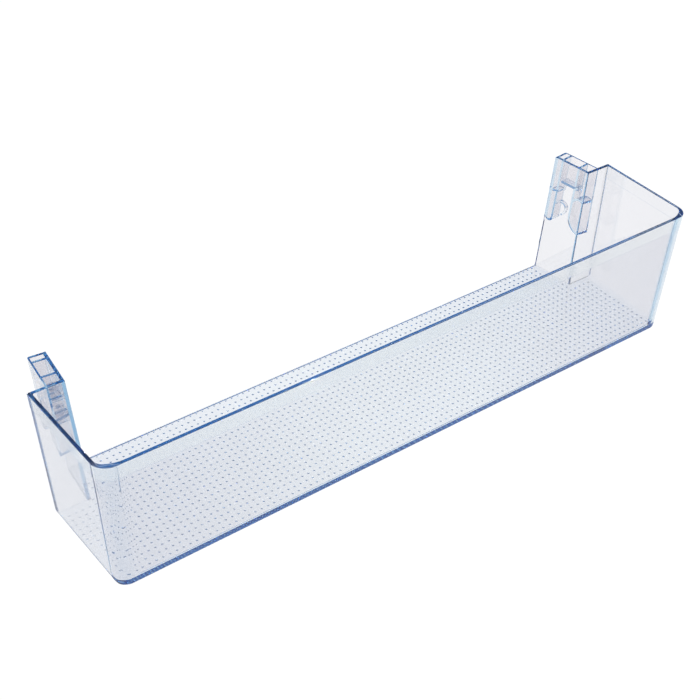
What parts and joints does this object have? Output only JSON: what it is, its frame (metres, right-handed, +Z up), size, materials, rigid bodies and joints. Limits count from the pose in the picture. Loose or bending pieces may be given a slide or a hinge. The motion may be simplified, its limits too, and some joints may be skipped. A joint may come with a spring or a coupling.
{
  "type": "fridge door shelf",
  "caption": "Clear moulded refrigerator door shelf: a long open tray with a dotted floor, plain front and end walls and hook brackets on its rear wings.",
  "frame": {"origin": "middle of the underside, at the centre of the bounding box in plan", "axes": "+X along the shelf, +Y towards the door (the open rear edge with the wings), +Z up out of the tray"},
  "size_m": [0.4944, 0.1173, 0.1017],
  "materials": {
    "clear_plastic": "clear, faintly blue, polished; the edges look deeper blue"
  },
  "bodies": {
    "root": {"door_shelf": "clear_plastic"}
  },
  "joints": []
}
